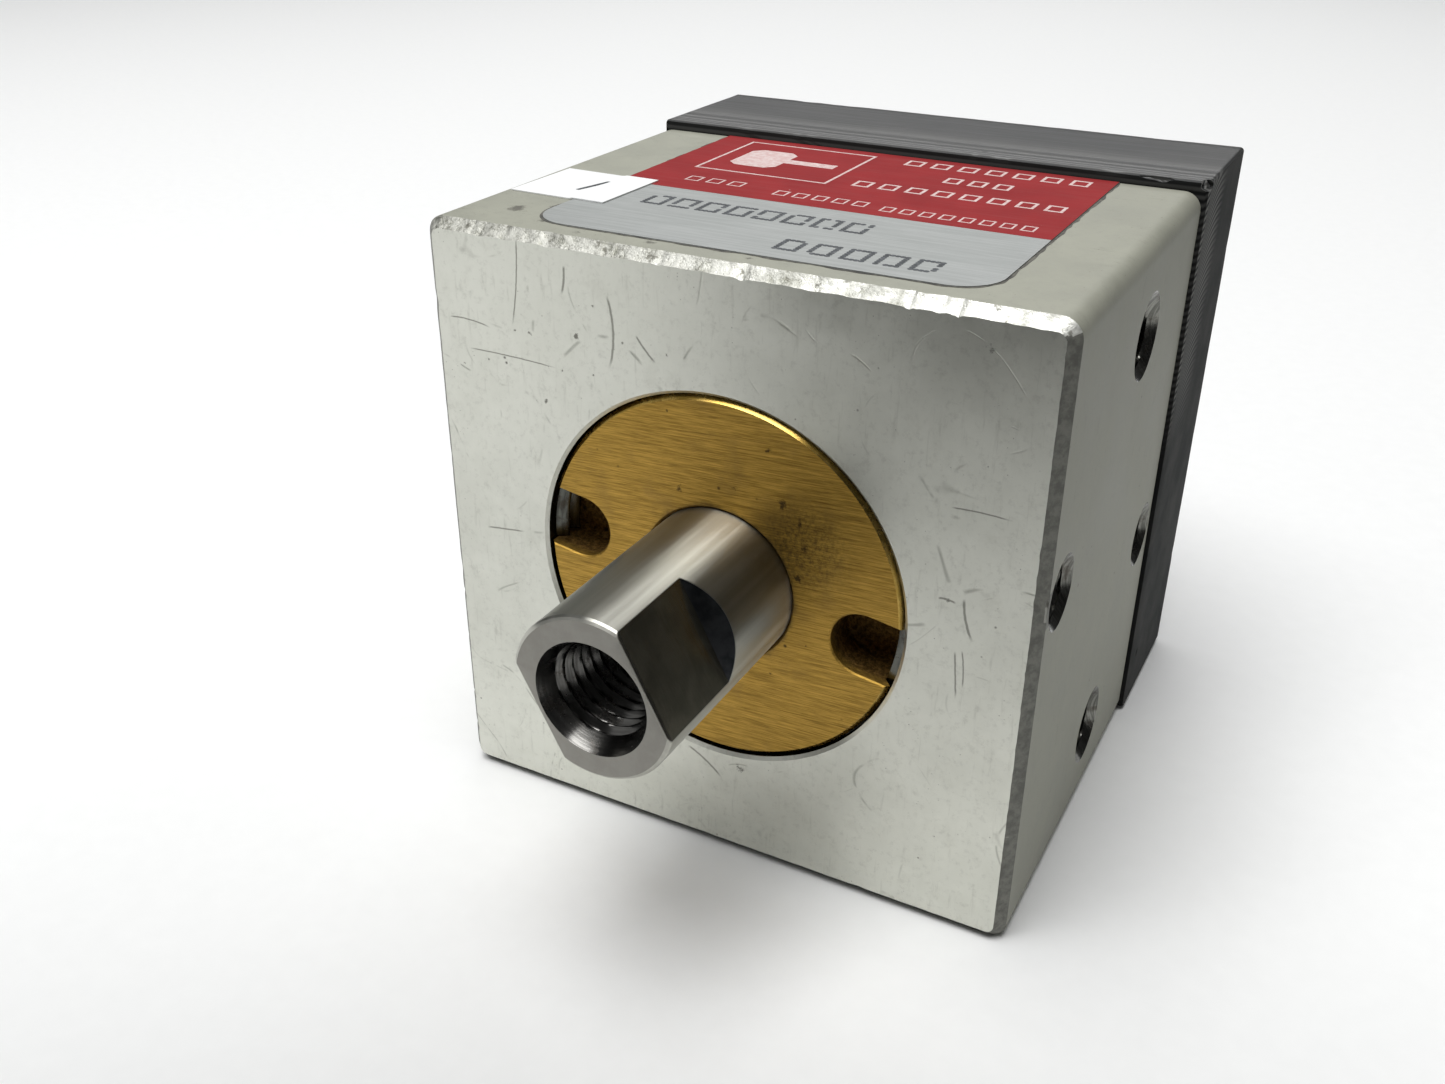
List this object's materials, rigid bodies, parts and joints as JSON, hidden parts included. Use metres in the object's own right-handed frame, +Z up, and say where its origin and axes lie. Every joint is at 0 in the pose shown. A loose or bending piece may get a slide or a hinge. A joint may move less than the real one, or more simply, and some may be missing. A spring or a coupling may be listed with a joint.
{
  "type": "pneumatic actuator",
  "caption": "Compact square-bodied pneumatic actuator: a rod with wrench flats and a tapped tip slides and turns in a screw-in bronze gland, with a black block bolted behind.",
  "frame": {"origin": "centre of the aluminium body's underside, in its depth as well as its width", "axes": "+Z up out of the labelled top face, -Y along the rod out of the front face, +X out of the face with the ports and mounting holes"},
  "size_m": [0.0512, 0.0686, 0.0516],
  "materials": {
    "anodised_aluminium": "clear anodised, satin, with a worn front edge",
    "gland_bronze": "finely brushed bronze",
    "stainless_steel": "ground and polished",
    "black_acetal": "machined, satin, with fine milling marks",
    "black_steel": "black oxide",
    "spring_steel": "oiled spring steel",
    "machined_aluminium": "turned",
    "seal_rubber": "moulded nitrile",
    "bumper_urethane": "moulded urethane",
    "wear_ring_plastic": "filled acetal",
    "label_foil": "printed foil, red and silver",
    "sticker_paper": "matt white paper"
  },
  "bodies": {
    "cylinder": {"cylinder_body": "anodised_aluminium", "rod_gland": "gland_bronze", "gland_o_ring": "seal_rubber", "rod_seal": "seal_rubber", "front_bumper": "bumper_urethane", "rear_head": "machined_aluminium", "rear_head_o_ring": "seal_rubber", "retaining_ring": "spring_steel", "rear_bumper": "bumper_urethane", "rear_block": "black_acetal", "block_screws": "black_steel", "lock_washers": "spring_steel", "nameplate_label": "label_foil", "paper_sticker": "sticker_paper"},
    "piston_seals": {"piston_seal_front": "seal_rubber", "piston_seal_rear": "seal_rubber", "piston_wear_ring": "wear_ring_plastic"},
    "rod": {"piston_rod": "stainless_steel", "piston": "machined_aluminium", "piston_screw": "black_steel", "piston_o_ring": "seal_rubber"}
  },
  "joints": [
    {"name": "rod_stroke", "type": "slide", "parent": "cylinder", "child": "piston_seals", "axis": [0, -1, 0], "range_m": [0, 0.00953]},
    {"name": "rod_spin", "type": "hinge", "parent": "piston_seals", "child": "rod", "pos_m": [0, 0, 0.0254], "axis": [0, -1, 0], "continuous": true}
  ]
}
